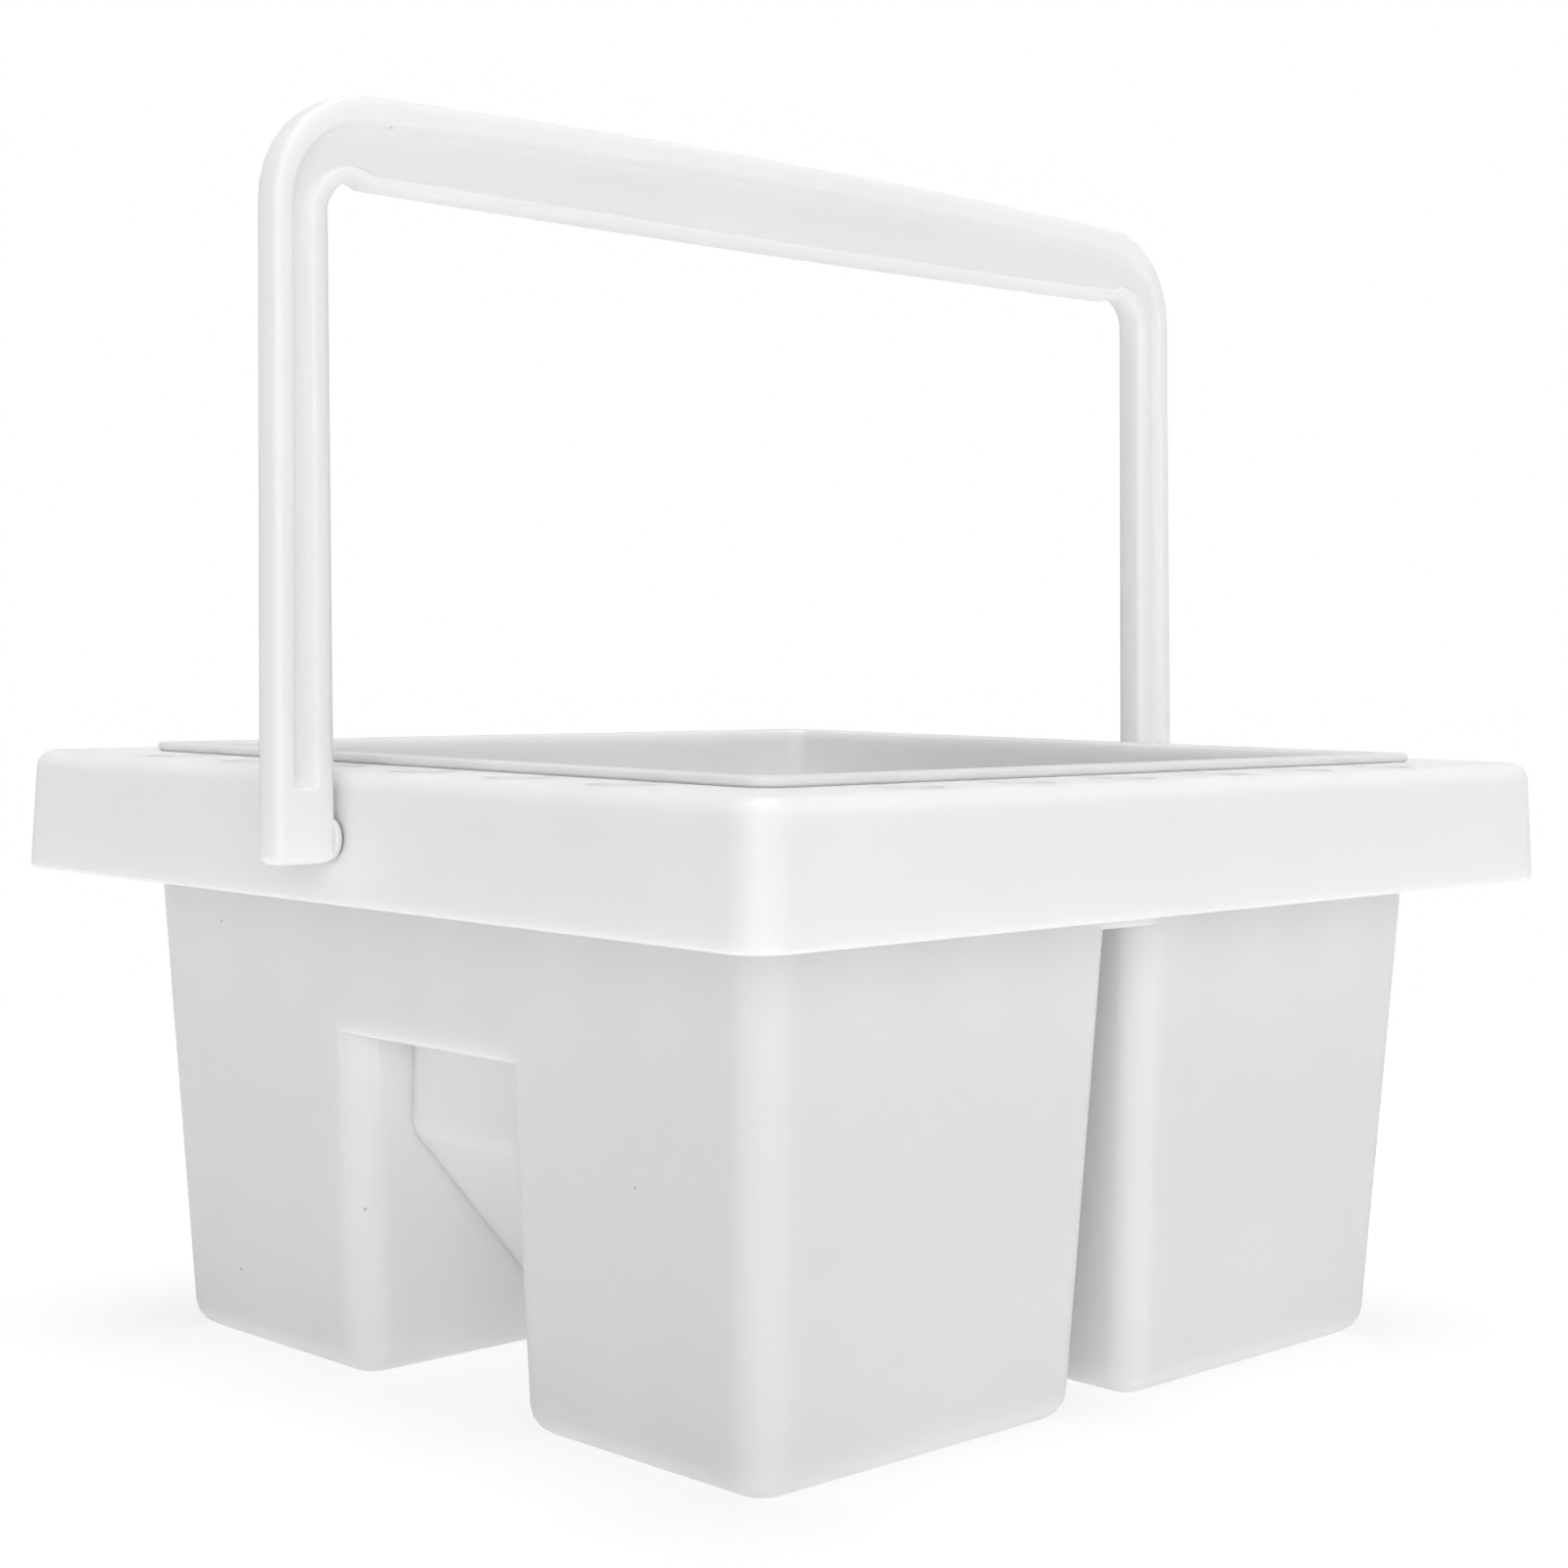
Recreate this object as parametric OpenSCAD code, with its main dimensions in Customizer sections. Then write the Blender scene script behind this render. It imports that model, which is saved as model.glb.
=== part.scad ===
// Square brush washer: a tub with two wells, a palette lid and a swing handle.
// Millimetres. The tub stands on Z = 0 with its middle on the Z axis, and the handle turns about X.

/* [Tub] */
// Width of the tub across the lower edge of its skirt
tub_w = 165; // [150:1:190]
// Height of the rim above the surface that the tub stands on
tub_h = 88; // [80:1:110]
// Height of the skirt that hangs from the rim
skirt_h = 17.8; // [16:0.2:22]
// How far the skirt's face leans in from its lower edge to the rim
skirt_lean = 0.7; // [0:0.1:1.5]
// Radius of the skirt's upright corners
skirt_r = 5; // [4:0.5:10]
// Radius of the rim's outer edge
rim_r = 2.5; // [1:0.25:2.75]
// Thickness of the skirt
skirt_wall = 1.8; // [1.2:0.1:2.4]
// Thickness of the flat deck round the mouth
deck_t = 2.2; // [1.6:0.1:3]
// Width of the deck and rim outside the wells
rack_w = 14; // [13:0.5:20]
// Break of the sharp edges
edge_r = 0.4; // [0.2:0.1:0.6]

/* [Wells] */
// Thickness of the wells' walls and floors
wall = 2; // [1.4:0.1:2.4]
// Draft of the wells' outer walls
well_draft = 3; // [1:0.25:4]
// Radius of the wells' outer upright corners
well_r = 5.5; // [5:0.5:9]
// Radius of the wells' upright corners beside the slot
slot_r = 4.6; // [4.6:0.1:6]
// Radius where the wells' walls turn into the floor
foot_r = 4; // [3:0.25:4.5]
// Width of the slot between the two wells at its top
slot_w = 5.6; // [3:0.2:8]
// Draft of the walls that face across the slot
slot_draft = 2.2; // [0.5:0.1:3]
// Thickness of the bridge that closes the slot's top
bridge_t = 3.2; // [2:0.1:5]
// Rounding of the bridge's lower edges
bridge_r = 1; // [0.5:0.1:1.5]
// Ledge inside the mouth where the wells begin
mouth_step = 0.4; // [0.2:0.1:0.8]

/* [Scrubbing ramp] */
// Width of the notch in each outer wall, which is the back of the ramp inside
notch_w = 32; // [24:1:44]
// Height of the notch's ceiling above the surface that the tub stands on
notch_top = 49.7; // [44:0.5:56]
// Depth of the notch at its ceiling
notch_depth = 10.2; // [6:0.2:12]
// Draft of the notch's sides
notch_draft = 1.2; // [0.5:0.1:2]
// Rounding of the ceiling's outer edge
notch_lip = 0.8; // [0.4:0.1:1]
// Height of the upright stretch between the ceiling and the ramp
notch_drop = 14.4; // [8:0.2:20]
// Slope of the ramp
ramp_angle = 49; // [40:1:55]
// Radius of the bend between the upright stretch and the ramp, on the notch's side
ramp_r = 5; // [3:0.5:8]
// Number of scrubbing ribs on the ramp
rib_count = 7; // [3:1:8]
// Distance between the ribs along the ramp
rib_pitch = 6; // [4:0.5:6]
// Radius of a rib
rib_r = 1.1; // [0.6:0.1:1.5]

/* [Brush rack] */
// Diameter of a brush hole
hole_d = 9; // [5:0.5:9.5]
// Number of brush holes along a side
hole_count = 6; // [2:2:6]
// Distance between brush holes
hole_pitch = 20; // [16:1:22]

/* [Lid] */
// How far the lid's flange laps over the deck
lid_lap = 1.6; // [1:0.1:2.4]
// Thickness of the flange
flange_t = 1.3; // [1:0.1:2.5]
// Radius of the flange's corners
flange_r = 4; // [3:0.5:8]
// Play between the lid's tray and the mouth, all round
lid_play = 1.1; // [0.5:0.1:1.3]
// Thickness of the lid's walls and floor
lid_wall = 1.6; // [1.2:0.1:2.2]
// Depth of the palette, from the flange to its floor
palette_depth = 13.2; // [8:0.2:13.6]
// Draft of the lid's walls
lid_draft = 3; // [1:0.25:4]
// Radius where the lid's walls turn into its floor
palette_r = 2.4; // [2:0.1:3]
// Number of paint pans along a side
pan_count = 5; // [3:1:7]
// Width of a paint pan
pan_w = 24; // [16:1:30]
// Height of the palette's dividers
divider_h = 3; // [1.5:0.5:6]
// Thickness of the palette's dividers
divider_t = 1.4; // [1:0.1:2]

/* [Handle] */
// Height of the handle's corners above its pivot
handle_h = 97.4; // [95:0.2:120]
// Distance of the pivot below the rim
pivot_drop = 9; // [7:0.1:9.4]
// Space between the skirt and a leg at the pivot
leg_space = 0.8; // [0.7:0.1:2.5]
// Width of a leg at the pivot
leg_w = 9; // [8:0.1:11]
// Width of a leg at its top
leg_top_w = 8.2; // [8:0.1:11]
// Height of the grip at its ends
grip_w = 12; // [10:0.25:14]
// How far the top of the grip rises towards its middle
crown = 1.3; // [0:0.1:2]
// How far the underside of the grip drops towards its middle
belly = 0.4; // [0:0.1:1.2]
// Thickness of the handle
handle_t = 5; // [4:0.1:6]
// Outer radius of the handle's corners
bend_r = 15; // [15:0.5:22]
// Inward lean of the legs
leg_lean = 0.1; // [0:0.05:0.15]
// Backward tilt of the handle as it stands
handle_tilt = 1.1; // [0:0.1:3]
// Rounding of the handle's edges
round_r = 1; // [0.6:0.1:1.2]
// Width of the rail outside a leg
outer_rail = 2.5; // [2:0.1:3]
// Width of the rail above the grip
grip_rail = 3.2; // [2:0.1:4]
// Width of the rail inside a leg
inner_rail = 2.6; // [2:0.1:3]
// Width of the lip under the grip
grip_lip = 1.3; // [1.2:0.1:2]
// Depth of the recess between the rails
recess_d = 1.2; // [0.4:0.1:1.5]
// Width of the curved walls of the recess
recess_wall = 0.8; // [0.4:0.1:1]
// Height of the recess's lower end above the pivot
recess_end = 6.6; // [5:0.1:10]
// Length of a leg below the pivot
leg_foot = 3.2; // [3.2:0.1:5.5]
// Rounding of a leg's end
leg_end_r = 1.4; // [0.8:0.1:1.6]

/* [Pivot] */
// Diameter of a pivot peg
peg_d = 4.9; // [4:0.1:5.5]
// Running clearance round a peg
peg_clear = 0.05; // [0.02:0.01:0.1]
// Diameter of the washer boss on a leg
boss_d = 6; // [5.8:0.1:8]
// Gap between the washer boss and the skirt
boss_gap = 0.4; // [0.3:0.05:0.6]
// Diameter of the collar inside the skirt
collar_d = 9.6; // [9:0.1:10]
// Length of the collar
collar_l = 2.5; // [1.5:0.1:3]
// Diameter of the snap head that keeps a peg in its hole
head_d = 6; // [5.8:0.1:6.6]
// Length of the snap head
head_l = 2; // [1.2:0.1:2.4]
// End play of a peg
end_play = 0.3; // [0.2:0.05:0.5]

/* [Hidden] */
tub_colour = "white";
lid_colour = "whitesmoke";
handle_colour = "ghostwhite";
corner_steps = 6;
fillet_steps = 4;
edge_steps = 3;
round_fn = 48;
over = 1;
seat = 0.4;
skirt_z = tub_h - skirt_h;
tub_half = tub_w / 2;
wells_half = tub_half - rack_w;
mouth_half = wells_half - wall + mouth_step;
mouth_r = well_r - wall + mouth_step;
lid_half = mouth_half + lid_lap;
rack_centre = (lid_half + tub_half - skirt_lean - rim_r / 2) / 2;
pivot_z = tub_h - pivot_drop;
pivot_face = tub_half - skirt_lean * (pivot_z - skirt_z) / skirt_h;
hole_r = peg_d / 2 + peg_clear;
collar_x = pivot_face - skirt_wall - collar_l;

// Points of an arc from angle a0 to angle a1
function arc(cx, cy, r, a0, a1, steps = corner_steps) =
    [for (i = [0 : steps]) let (a = a0 + (a1 - a0) * i / steps) [cx + r * cos(a), cy + r * sin(a)]];

// A rectangle with round corners, anticlockwise seen from above: radius r0 on the -X side, r1 on +X
function round_rect(x0, x1, y0, y1, r0, r1) = concat(
    arc(x1 - r1, y0 + r1, r1, -90, 0),
    arc(x1 - r1, y1 - r1, r1, 0, 90),
    arc(x0 + r0, y1 - r0, r0, 90, 180),
    arc(x0 + r0, y0 + r0, r0, 180, 270));

function round_square(half, r) = round_rect(-half, half, -half, half, r, r);

// Quarter-circle steps: how far a level stands in, and how high it is, with a fillet of radius r
function fillet_in(r, k) = r * (1 - sin(90 * k / fillet_steps));
function fillet_up(r, k) = r * (1 - cos(90 * k / fillet_steps));

// A closed solid through outlines with the same number of points, from the lowest level to the highest
module loft(levels) {
    n = len(levels[0][1]);
    last = len(levels) - 1;
    points = [for (level = levels) for (p = level[1]) [p[0], p[1], level[0]]];
    sides = [for (k = [0 : last - 1]) for (i = [0 : n - 1])
        [k * n + i, (k + 1) * n + i, (k + 1) * n + (i + 1) % n, k * n + (i + 1) % n]];
    bottom = [for (i = [0 : n - 1]) i];
    top = [for (i = [n - 1 : -1 : 0]) last * n + i];
    polyhedron(points, concat([bottom], sides, [top]));
}

// The well on the -X side. The other well is its mirror image.
function well_reach(z) = wells_half - max(0, skirt_z - z) * tan(well_draft);

function slot_reach(z) = slot_w / 2 + max(0, skirt_z - z) * tan(slot_draft);

function well_outline(z, inset) = round_rect(
    -well_reach(z) + inset, -slot_reach(z) - inset,
    -well_reach(z) + inset, well_reach(z) - inset, well_r - inset, slot_r - inset);

// The well's levels, with its surface moved in by grow
function well_levels(grow, top_z) = concat(
    [for (k = [0 : fillet_steps]) let (z = grow + fillet_up(foot_r - grow, k))
        [z, well_outline(z, grow + fillet_in(foot_r - grow, k))]],
    [[top_z, well_outline(top_z, grow)]]);

// Plan of the notch, its round mouth included, with the surface moved out by grow
function notch_outline(z, grow) = let (
    half = notch_w / 2 + max(0, notch_top - z) * tan(notch_draft),
    cx = -well_reach(z) + well_r,
    cy = half + well_r,
    far = -tub_half,
    end = -slot_reach(z))
    concat(
        [[far, -cy]],
        arc(cx, -cy, well_r - grow, 180, 90),
        [[end, -half - grow], [end, half + grow]],
        arc(cx, cy, well_r - grow, -90, -180),
        [[far, cy]]);

// Side view of the notch: ramp, bend, upright wall and ceiling, moved out by grow. The ceiling's outer
// edge is rounded by lip.
function notch_side(grow, lip) = let (
    face = -well_reach(notch_top),
    wall_x = face + notch_depth,
    bend_z = notch_top - notch_drop + ramp_r * tan(45 - ramp_angle / 2),
    r = ramp_r - grow,
    foot_x = wall_x + ramp_r - r * sin(ramp_angle),
    foot_z = bend_z - r * cos(ramp_angle))
    concat(
        [[-tub_half, -over],
         [foot_x + (foot_z + over) / tan(ramp_angle), -over]],
        arc(wall_x + ramp_r, bend_z, r, 270 - ramp_angle, 180, fillet_steps),
        [[wall_x + grow, notch_top + grow]],
        lip > 0 ? arc(face + lip, notch_top + lip, lip, 270, 180, edge_steps) : [],
        [[-tub_half, notch_top + grow + lip]]);

module notch(grow, foot, lip) {
    intersection() {
        loft(concat(
            [[-over, notch_outline(0, grow + foot)]],
            [for (k = [0 : fillet_steps]) let (z = fillet_up(foot_r, k))
                [z, notch_outline(z, grow + (foot > 0 ? fillet_in(foot, k) : 0))]],
            [[notch_top + grow + over, notch_outline(notch_top + grow + over, grow)]]));
        rotate([90, 0, 0])
            linear_extrude(height = tub_w, center = true)
                polygon(notch_side(grow, lip));
    }
}

// Half-round ribs across the inside of the ramp
module ramp_ribs() {
    top = notch_side(wall, 0)[2];
    for (k = [1 : rib_count])
        translate([top[0] + k * rib_pitch * cos(ramp_angle), 0, top[1] - k * rib_pitch * sin(ramp_angle)])
            rotate([90, 0, 0])
                cylinder(r = rib_r, h = notch_w, center = true, $fn = round_fn);
}

module well_shell() {
    difference() {
        loft(well_levels(0, skirt_z));
        notch(0, foot_r, notch_lip);
    }
}

module well_space() {
    difference() {
        loft(well_levels(wall, skirt_z + mouth_step));
        notch(wall, 0, 0);
        ramp_ribs();
    }
}

// The bridge across the slot's top, flush with the wells' faces
function bridge_outline(reach) = let (half = slot_w / 2 + slot_r)
    [[-half, -reach], [half, -reach], [half, reach], [-half, reach]];

module bridge() {
    loft(concat(
        [for (k = [0 : fillet_steps]) let (z = skirt_z - bridge_t + fillet_up(bridge_r, k))
            [z, bridge_outline(well_reach(z) - fillet_in(bridge_r, k))]],
        [[skirt_z + mouth_step, bridge_outline(wells_half)]]));
}

module skirt() {
    top_half = tub_half - skirt_lean;
    difference() {
        loft(concat(
            [[skirt_z, round_square(tub_half - edge_r, skirt_r - edge_r)],
             [skirt_z + edge_r, round_square(tub_half, skirt_r)]],
            [for (k = [fillet_steps : -1 : 0]) let (inset = fillet_in(rim_r, k))
                [tub_h - fillet_up(rim_r, k), round_square(top_half - inset, skirt_r - inset)]]));
        loft([
            [skirt_z - over, round_square(tub_half - skirt_wall, skirt_r - skirt_wall)],
            [tub_h - deck_t, round_square(top_half - skirt_wall, skirt_r - skirt_wall)]]);
    }
}

// Brush holes along the deck on the -X and -Y sides
module brush_holes() {
    for (turn = [0, 90])
        rotate([0, 0, turn])
            for (k = [0 : hole_count - 1])
                translate([-rack_centre, (k - (hole_count - 1) / 2) * hole_pitch, tub_h - deck_t - over])
                    cylinder(d = hole_d, h = deck_t + 2 * over, $fn = round_fn);
}

module along_x(x0, x1) {
    translate([x0, 0, pivot_z])
        rotate([0, 90, 0])
            linear_extrude(height = x1 - x0)
                children();
}

module tub() color(tub_colour) {
    difference() {
        union() {
            skirt();
            bridge();
            loft([
                [skirt_z, round_square(wells_half, well_r)],
                [tub_h - deck_t / 2, round_square(wells_half, well_r)]]);
            for (side = [0, 1])
                mirror([side, 0, 0]) {
                    well_shell();
                    along_x(-pivot_face + skirt_wall / 2, -collar_x)
                        circle(d = collar_d, $fn = round_fn);
                }
        }
        loft([
            [skirt_z, round_square(mouth_half, mouth_r)],
            [tub_h + over, round_square(mouth_half, mouth_r)]]);
        for (side = [0, 1])
            mirror([side, 0, 0]) {
                well_space();
                along_x(-tub_half - over, -collar_x + over)
                    circle(r = hole_r, $fn = round_fn);
            }
        brush_holes();
    }
}

// The lid's flange rests on the deck
lid_top = tub_h + flange_t;
palette_z = lid_top - palette_depth;
tray_z = palette_z - lid_wall;

function tray_half(z) = mouth_half - lid_play - (tub_h - z) * tan(lid_draft);

function tray_outline(z, inset) =
    round_square(tray_half(z) - inset, mouth_r - lid_play + palette_r - inset);

module lid_shell() {
    loft([
        [tub_h, round_square(lid_half - edge_r, flange_r - edge_r)],
        [tub_h + edge_r, round_square(lid_half, flange_r)],
        [lid_top - edge_r, round_square(lid_half, flange_r)],
        [lid_top - edge_r / 3, round_square(lid_half - edge_r / 3, flange_r - edge_r / 3)],
        [lid_top, round_square(lid_half - edge_r, flange_r - edge_r)]]);
    loft(concat(
        [for (k = [0 : fillet_steps]) let (z = tray_z + fillet_up(palette_r, k))
            [z, tray_outline(z, fillet_in(palette_r, k))]],
        [[tub_h + flange_t / 2, tray_outline(tub_h, 0)]]));
}

module lid() color(lid_colour) {
    inner_r = palette_r - lid_wall / 2;
    difference() {
        lid_shell();
        loft(concat(
            [for (k = [0 : fillet_steps]) let (z = palette_z + fillet_up(inner_r, k))
                [z, tray_outline(z, lid_wall + fillet_in(inner_r, k))]],
            [[lid_top - edge_r, tray_outline(lid_top - edge_r, lid_wall)],
             [lid_top, tray_outline(lid_top, lid_wall - edge_r)],
             [lid_top + over, tray_outline(lid_top, lid_wall - edge_r)]]));
    }
    palette_half = tray_half(palette_z) - lid_wall / 2;
    pan_pitch = 2 * palette_half / pan_count;
    for (side = [-1, 1]) {
        translate([side * (palette_half - pan_w) - divider_t / 2, -palette_half, palette_z - lid_wall / 2])
            cube([divider_t, 2 * palette_half, divider_h + lid_wall / 2]);
        for (k = [1 : pan_count - 1])
            translate([side > 0 ? palette_half - pan_w : -palette_half,
                       -palette_half + k * pan_pitch - divider_t / 2, palette_z - lid_wall / 2])
                cube([pan_w, divider_t, divider_h + lid_wall / 2]);
    }
}

// One half of the handle's path, from a leg's end to the middle of the grip. A station holds x, z,
// the angle of the outward normal, width, depth of recess, outer rail, inner rail and inset.
function leg_inner(z) = pivot_face + leg_space - (z - pivot_z) * tan(leg_lean);

bend_z = pivot_z + handle_h - bend_r;
bend_x = leg_inner(bend_z) + leg_top_w - bend_r;
crown_angle = atan(2 * crown / bend_x);
grip_x = bend_x + bend_r * sin(crown_angle);
grip_z = bend_z + bend_r * cos(crown_angle);
bend_steps = 8;
grip_steps = 6;
end_steps = 3;
fade_steps = 4;
slope_steps = 4;

function mix(a, b, t) = a + (b - a) * t;

function on_leg(z, recess, inset = 0) = let (w = mix(leg_w, leg_top_w, (z - pivot_z) / (bend_z - pivot_z)))
    [leg_inner(z) + w, z, 0, w, recess, outer_rail, inner_rail, inset];

half_path = concat(
    [for (k = [0 : end_steps]) let (a = 90 * k / end_steps)
        on_leg(pivot_z - leg_foot + leg_end_r * (1 - cos(a)), 0, leg_end_r * (1 - sin(a)))],
    [for (k = [0 : fade_steps]) let (a = 90 * k / fade_steps)
        on_leg(pivot_z + recess_end + 2 * recess_d * (1 - cos(a)), recess_d * sin(a))],
    [for (k = [0 : bend_steps]) let (t = k / bend_steps, a = t * (90 - crown_angle))
        [bend_x + bend_r * cos(a), bend_z + bend_r * sin(a), a, mix(leg_top_w, grip_w, t), recess_d,
         mix(outer_rail, grip_rail, t), mix(inner_rail, grip_lip, t), 0]],
    [for (k = [1 : grip_steps]) let (t = k / grip_steps, rise = 1 - pow(1 - t, 2))
        [grip_x * (1 - t), grip_z + crown * rise, 90 - crown_angle * (1 - t),
         grip_w + (crown + belly) * rise, recess_d, grip_rail, grip_lip, 0]]);

path = concat(half_path,
    [for (k = [len(half_path) - 2 : -1 : 0]) let (s = half_path[k])
        [-s[0], s[1], 180 - s[2], s[3], s[4], s[5], s[6], s[7]]]);

// The handle's section: u runs in from the outer edge, v across the thickness. The walls of the
// recess are S-shaped.
function section(w, recess, outer, inner, inset) = let (
    t = handle_t / 2,
    slope = [for (k = [0 : slope_steps]) let (a = 180 * k / slope_steps)
        [recess_wall * a / 180, recess * (1 - cos(a)) / 2 - t]],
    front = concat(
        arc(round_r, round_r - t, round_r, 180, 270, edge_steps),
        [for (p = slope) [outer + p[0], p[1]]],
        [for (k = [slope_steps : -1 : 0]) [w - inner - slope[k][0], slope[k][1]]],
        arc(w - round_r, round_r - t, round_r, 270, 360, edge_steps)),
    back = [for (k = [len(front) - 1 : -1 : 0]) [front[k][0], -front[k][1]]])
    [for (p = concat(front, back)) [inset + p[0] * (w - 2 * inset) / w, p[1] * (t - inset) / t]];

module bail() {
    rings = [for (s = path) [for (p = section(s[3], s[4], s[5], s[6], s[7]))
        [s[0] - p[0] * cos(s[2]), p[1], s[1] - p[0] * sin(s[2])]]];
    n = len(rings[0]);
    last = len(rings) - 1;
    points = [for (ring = rings) for (p = ring) p];
    sides = [for (k = [0 : last - 1]) for (i = [0 : n - 1])
        each [[k * n + i, k * n + (i + 1) % n, (k + 1) * n + (i + 1) % n],
              [k * n + i, (k + 1) * n + (i + 1) % n, (k + 1) * n + i]]];
    first = [for (i = [n - 1 : -1 : 0]) i];
    end = [for (i = [0 : n - 1]) last * n + i];
    polyhedron(points, concat([first], sides, [end]));
}

// Washer boss, peg and snap head of one leg
module peg() {
    along_x(-pivot_face - leg_space - seat, -pivot_face - boss_gap)
        circle(d = boss_d, $fn = round_fn);
    along_x(-pivot_face - leg_space - seat, -collar_x + end_play + head_l / 2)
        circle(d = peg_d, $fn = round_fn);
    translate([-collar_x + end_play, 0, pivot_z])
        rotate([0, 90, 0])
            cylinder(d1 = head_d, d2 = peg_d - 1, h = head_l, $fn = round_fn);
}

module handle() color(handle_colour) {
    translate([0, 0, pivot_z])
        rotate([-handle_tilt, 0, 0])
            translate([0, 0, -pivot_z])
                bail();
    for (side = [0, 1])
        mirror([side, 0, 0])
            peg();
}

tub();
lid();
handle();
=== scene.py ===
import math

import bpy
from mathutils import Matrix, Vector

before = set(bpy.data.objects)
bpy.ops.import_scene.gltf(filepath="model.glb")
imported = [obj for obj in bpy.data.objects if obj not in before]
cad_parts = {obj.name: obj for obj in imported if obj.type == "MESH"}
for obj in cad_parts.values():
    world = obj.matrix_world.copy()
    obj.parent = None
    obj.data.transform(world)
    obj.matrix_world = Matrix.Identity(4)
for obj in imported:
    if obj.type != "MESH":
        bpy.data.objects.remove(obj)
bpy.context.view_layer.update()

# Lengths are in metres, unless a name or a comment says otherwise
MM = 0.001

# Camera, fitted to the square skirt, the lid and both wells in the photograph
CAMERA_AT = Vector((-289.6, -304.4, 104.8)) * MM
CAMERA_YAW = math.radians(45.58)
CAMERA_PITCH = math.radians(-2.853)
CAMERA_ROLL = math.radians(0.547)
FRAME_PX = 1600
FOCAL_PX = 2808.6
AXIS_PX = 898.7
SENSOR_MM = 36
NEAREST = 0.01
FARTHEST = 50

# Light levels, where 1 alone makes a white surface that faces the light white
WORLD_LEVEL = 0.08
# Soft lights: name, compass direction from +Y towards +X, height, spread (all in degrees), level
LIGHTS = (
    ("top_light", 180, 86, 35, 0.64),
    ("front_light", 165, 12, 50, 0.105),
    ("fill_light", 224, 10, 50, 0.44),
)
WHITE = (1, 1, 1, 1)

# Floor: a pale panel just under the tub, with a soft light of its own
FLOOR_TONE = 0.94
FLOOR_LIT = 0.26
FLOOR_HALF = 3.0
FLOOR_GAP = 0.1 * MM
# Plain white shows over the floor by this share near the tub, and wholly beyond the fade
FLOOR_SHOWN = 0.72
FLOOR_FADE = (0.15, 0.45)

# Plastic: its tone, and where its pattern starts, which is taken along X, Y and Z in these shares
PLASTICS = {
    "tub": (0.88, 1.3),
    "lid": (0.89, 4.1),
    "handle": (0.88, 7.7),
}
START_SHARES = (1, 0.37, 0.71)
PLASTIC_IOR = 1.49
PLASTIC_SPECULAR = 0.45
SCATTER_DEPTH = 4 * MM
# Mottle: ripples in a metre and octaves, the band of noise in use, the darker tone's share
MOTTLE = (38, 3)
MOTTLE_BAND = (0.35, 0.65)
MOTTLE_DARK = 0.985
# Specks: cells in a metre, where a speck fades out as shares of a cell, and its darker colour
SPECKS_PER_M = 70
SPECK_FADE = (0.012, 0.024)
SPECK_DARK = (0.62, 0.61, 0.58)
# Gloss: ripples in a metre, octaves and their weight, drawn out along Z by the small third scale
GLOSS = (260, 4, 0.6)
GLOSS_DRAWN = (1, 1, 0.08)
GLOSS_BAND = (0.3, 0.7)
ROUGHNESS = (0.35, 0.47)
# Bumps: ripples in a metre, octaves, strength, height
WAVE = (22, 2, 0.25, 0.4 * MM)
GRAIN = (2600, 2, 0.10, 0.02 * MM)

# Corners closer than the first value are joined, and edges steeper than the second stay crisp
WELD = 0.005 * MM
CRISP_ANGLE = math.radians(32)


def make_camera():
    data = bpy.data.cameras.new("camera")
    data.sensor_width = SENSOR_MM
    data.lens = FOCAL_PX / FRAME_PX * SENSOR_MM
    data.shift_x = (FRAME_PX / 2 - AXIS_PX) / FRAME_PX
    data.clip_start = NEAREST
    data.clip_end = FARTHEST
    forward = Vector((
        math.sin(CAMERA_YAW) * math.cos(CAMERA_PITCH),
        math.cos(CAMERA_YAW) * math.cos(CAMERA_PITCH),
        math.sin(CAMERA_PITCH)))
    level = Vector((math.cos(CAMERA_YAW), -math.sin(CAMERA_YAW), 0))
    upright = level.cross(forward)
    right = level * math.cos(CAMERA_ROLL) + upright * math.sin(CAMERA_ROLL)
    up = upright * math.cos(CAMERA_ROLL) - level * math.sin(CAMERA_ROLL)
    turned = Matrix((right, up, -forward)).transposed().to_4x4()
    camera = bpy.data.objects.new("camera", data)
    camera.matrix_world = Matrix.Translation(CAMERA_AT) @ turned
    bpy.context.scene.collection.objects.link(camera)
    bpy.context.scene.camera = camera


def node(tree, kind, **values):
    """A new node, with each value set on the input of that name, or else on the node itself."""
    made = tree.nodes.new(kind)
    for key, value in values.items():
        if key in made.inputs:
            made.inputs[key].default_value = value
        else:
            setattr(made, key, value)
    return made


def span(tree, value, source, target, blend="LINEAR"):
    """Maps a value from one range to another, and keeps it inside the second."""
    made = node(tree, "ShaderNodeMapRange", interpolation_type=blend)
    made.inputs["From Min"].default_value = source[0]
    made.inputs["From Max"].default_value = source[1]
    made.inputs["To Min"].default_value = target[0]
    made.inputs["To Max"].default_value = target[1]
    tree.links.new(value, made.inputs["Value"])
    return made.outputs["Result"]


def grey(tone):
    return (tone, tone, tone, 1)


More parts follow.
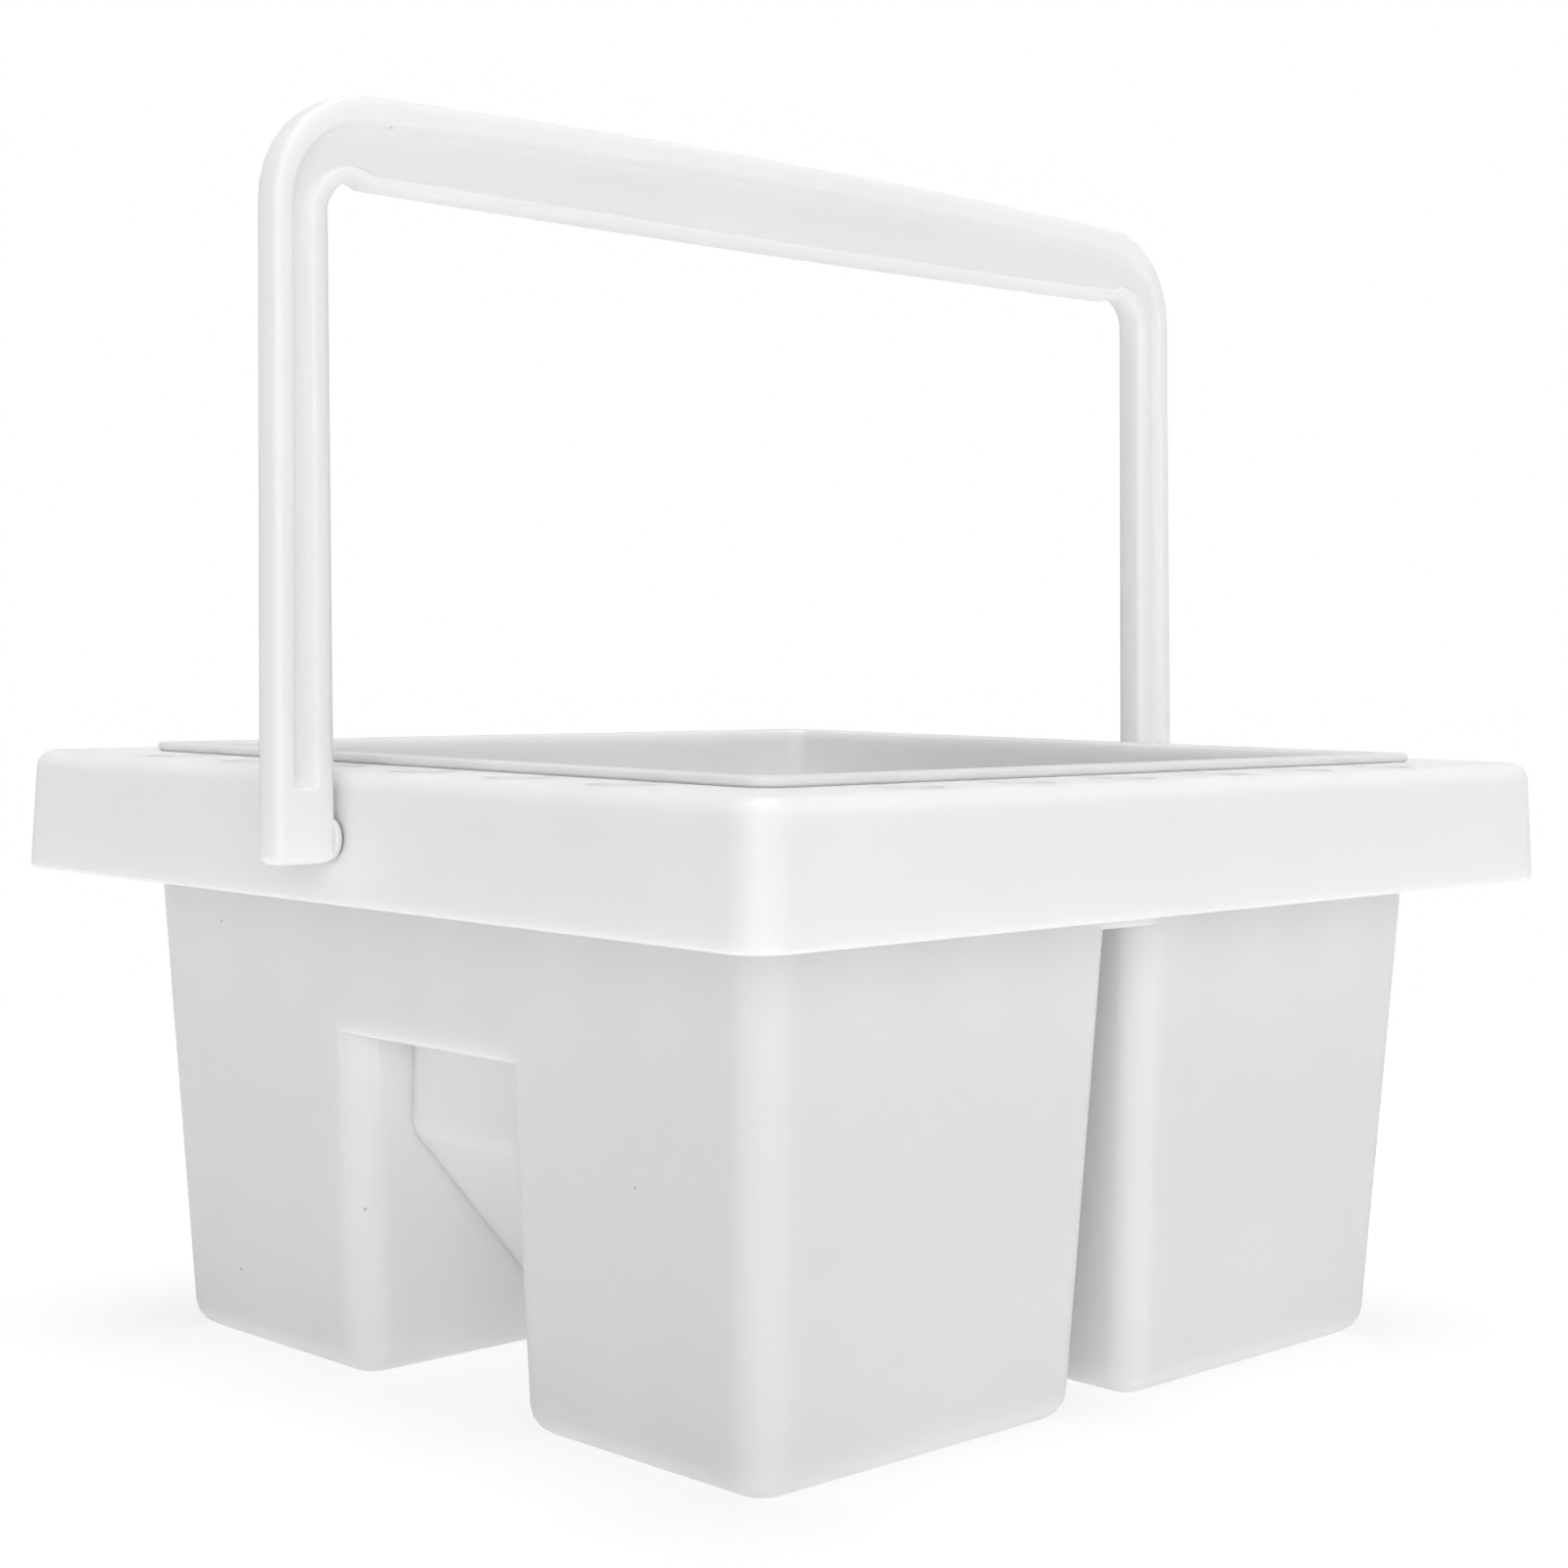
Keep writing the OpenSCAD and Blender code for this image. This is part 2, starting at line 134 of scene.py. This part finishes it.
def white_for_view(tree, shader, white, share=None):
    """Shows plain white over a shader to camera, gloss and glass rays, wholly or by a share."""
    path = node(tree, "ShaderNodeLightPath")
    mirrored = node(tree, "ShaderNodeMath", operation="MAXIMUM")
    tree.links.new(path.outputs["Is Glossy Ray"], mirrored.inputs[0])
    tree.links.new(path.outputs["Is Transmission Ray"], mirrored.inputs[1])
    seen = node(tree, "ShaderNodeMath", operation="MAXIMUM")
    tree.links.new(path.outputs["Is Camera Ray"], seen.inputs[0])
    tree.links.new(mirrored.outputs[0], seen.inputs[1])
    amount = seen.outputs[0]
    if share is not None:
        part = node(tree, "ShaderNodeMath", operation="MULTIPLY")
        tree.links.new(amount, part.inputs[0])
        tree.links.new(share, part.inputs[1])
        amount = part.outputs[0]
    mix = node(tree, "ShaderNodeMixShader")
    tree.links.new(amount, mix.inputs[0])
    tree.links.new(shader, mix.inputs[1])
    tree.links.new(white, mix.inputs[2])
    return mix.outputs[0]


def make_world():
    world = bpy.data.worlds.new("studio")
    bpy.context.scene.world = world
    world.use_nodes = True
    tree = world.node_tree
    tree.nodes.clear()
    lit = node(tree, "ShaderNodeBackground", Color=WHITE, Strength=WORLD_LEVEL)
    shown = node(tree, "ShaderNodeBackground", Color=WHITE, Strength=1.0)
    out = node(tree, "ShaderNodeOutputWorld")
    tree.links.new(white_for_view(tree, lit.outputs[0], shown.outputs[0]), out.inputs[0])


def make_material(name):
    material = bpy.data.materials.new(name)
    material.use_nodes = True
    material.node_tree.nodes.clear()
    return material


def floor_panel():
    """Pale paint over a soft light, shown as plain white by a share that grows away from the tub."""
    material = make_material("floor")
    tree = material.node_tree
    paint = node(tree, "ShaderNodeBsdfDiffuse", Color=grey(FLOOR_TONE))
    panel = node(tree, "ShaderNodeEmission", Color=WHITE, Strength=FLOOR_LIT)
    lit = node(tree, "ShaderNodeAddShader")
    tree.links.new(paint.outputs[0], lit.inputs[0])
    tree.links.new(panel.outputs[0], lit.inputs[1])
    shown = node(tree, "ShaderNodeEmission", Color=WHITE, Strength=1.0)
    place = node(tree, "ShaderNodeTexCoord")
    away = node(tree, "ShaderNodeVectorMath", operation="LENGTH")
    tree.links.new(place.outputs["Object"], away.inputs[0])
    share = span(tree, away.outputs["Value"], FLOOR_FADE, (FLOOR_SHOWN, 1.0), "SMOOTHSTEP")
    out = node(tree, "ShaderNodeOutputMaterial")
    tree.links.new(white_for_view(tree, lit.outputs[0], shown.outputs[0], share), out.inputs[0])
    return material


def make_floor():
    mesh = bpy.data.meshes.new("floor")
    plan = ((-1, -1), (1, -1), (1, 1), (-1, 1))
    corners = [(x * FLOOR_HALF, y * FLOOR_HALF, -FLOOR_GAP) for x, y in plan]
    mesh.from_pydata(corners, [], [(0, 1, 2, 3)])
    mesh.materials.append(floor_panel())
    floor = bpy.data.objects.new("floor", mesh)
    bpy.context.scene.collection.objects.link(floor)


def make_lights():
    for name, direction, height, spread, level in LIGHTS:
        data = bpy.data.lights.new(name, "SUN")
        data.energy = level * math.pi
        data.angle = math.radians(spread)
        turn = math.radians(direction)
        tilt = math.radians(height)
        towards = Vector((
            math.sin(turn) * math.cos(tilt),
            math.cos(turn) * math.cos(tilt),
            math.sin(tilt)))
        lamp = bpy.data.objects.new(name, data)
        lamp.rotation_mode = "QUATERNION"
        lamp.rotation_quaternion = (-towards).to_track_quat("-Z", "Y")
        bpy.context.scene.collection.objects.link(lamp)


def plastic(name, tone, start):
    """Satin white polypropylene: mottle, sparse specks, drawn gloss, moulded grain and soft waves."""
    material = make_material(name)
    tree = material.node_tree
    link = tree.links.new
    place = node(tree, "ShaderNodeTexCoord")
    offset = node(tree, "ShaderNodeVectorMath", operation="ADD")
    offset.inputs[1].default_value = [start * share for share in START_SHARES]
    link(place.outputs["Object"], offset.inputs[0])

    def noise(scale, octaves, weight=0.5, at=offset):
        made = node(tree, "ShaderNodeTexNoise", Scale=scale, Detail=octaves, Roughness=weight)
        link(at.outputs[0], made.inputs["Vector"])
        return made.outputs["Fac"]

    def bump(scale, octaves, strength, height):
        made = node(tree, "ShaderNodeBump", Strength=strength, Distance=height)
        link(noise(scale, octaves), made.inputs["Height"])
        return made

    shader = node(tree, "ShaderNodeBsdfPrincipled")
    shader.inputs["IOR"].default_value = PLASTIC_IOR
    shader.inputs["Specular IOR Level"].default_value = PLASTIC_SPECULAR
    shader.inputs["Subsurface Weight"].default_value = 1.0
    shader.inputs["Subsurface Radius"].default_value = (1.0, 1.0, 1.0)
    shader.inputs["Subsurface Scale"].default_value = SCATTER_DEPTH

    mottled = node(tree, "ShaderNodeMix", data_type="RGBA")
    mottled.inputs["A"].default_value = grey(tone * MOTTLE_DARK)
    mottled.inputs["B"].default_value = grey(tone)
    link(span(tree, noise(*MOTTLE), MOTTLE_BAND, (0, 1)), mottled.inputs["Factor"])
    cells = node(tree, "ShaderNodeTexVoronoi", Scale=SPECKS_PER_M)
    link(offset.outputs[0], cells.inputs["Vector"])
    specked = node(tree, "ShaderNodeMix", data_type="RGBA")
    specked.inputs["A"].default_value = [tone * share for share in SPECK_DARK] + [1]
    link(mottled.outputs["Result"], specked.inputs["B"])
    link(span(tree, cells.outputs["Distance"], SPECK_FADE, (0, 1)), specked.inputs["Factor"])
    link(specked.outputs["Result"], shader.inputs["Base Color"])

    drawn = node(tree, "ShaderNodeVectorMath", operation="MULTIPLY")
    drawn.inputs[1].default_value = GLOSS_DRAWN
    link(offset.outputs[0], drawn.inputs[0])
    link(span(tree, noise(*GLOSS, at=drawn), GLOSS_BAND, ROUGHNESS), shader.inputs["Roughness"])

    wave = bump(*WAVE)
    grain = bump(*GRAIN)
    link(wave.outputs[0], grain.inputs["Normal"])
    link(grain.outputs[0], shader.inputs["Normal"])
    out = node(tree, "ShaderNodeOutputMaterial")
    link(shader.outputs[0], out.inputs[0])
    return material


def smooth_group():
    """A modifier that joins a node's faces and shades them smooth, with its real edges kept crisp."""
    group = bpy.data.node_groups.new("smooth_faces", "GeometryNodeTree")
    group.interface.new_socket("Geometry", in_out="INPUT", socket_type="NodeSocketGeometry")
    group.interface.new_socket("Geometry", in_out="OUTPUT", socket_type="NodeSocketGeometry")
    link = group.links.new
    first = node(group, "NodeGroupInput")
    last = node(group, "NodeGroupOutput")
    weld = node(group, "GeometryNodeMergeByDistance", Distance=WELD)
    smooth = node(group, "GeometryNodeSetShadeSmooth")
    sharp = node(group, "GeometryNodeSetShadeSmooth", domain="EDGE")
    sharp.inputs["Shade Smooth"].default_value = False
    angle = node(group, "GeometryNodeInputMeshEdgeAngle")
    over = node(group, "FunctionNodeCompare", data_type="FLOAT", operation="GREATER_THAN")
    over.inputs[1].default_value = CRISP_ANGLE
    link(first.outputs[0], weld.inputs["Geometry"])
    link(weld.outputs[0], smooth.inputs["Geometry"])
    link(smooth.outputs[0], sharp.inputs["Geometry"])
    link(angle.outputs["Unsigned Angle"], over.inputs[0])
    link(over.outputs[0], sharp.inputs["Selection"])
    link(sharp.outputs[0], last.inputs[0])
    return group


def dress(name, material, group):
    """Gives a CAD node its material, and smooth shading in place of its faceted normals."""
    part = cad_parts[name]
    if "custom_normal" in part.data.attributes:
        part.data.attributes.remove(part.data.attributes["custom_normal"])
    part.data.materials.clear()
    part.data.materials.append(material)
    smooth = part.modifiers.new("smooth_faces", "NODES")
    smooth.node_group = group
    even = part.modifiers.new("even_shading", "WEIGHTED_NORMAL")
    even.keep_sharp = True


make_camera()
make_world()
make_floor()
make_lights()
smoothing = smooth_group()
for name, (tone, start) in PLASTICS.items():
    dress(name, plastic(name + "_plastic", tone, start), smoothing)
bpy.context.scene.view_settings.view_transform = "Standard"
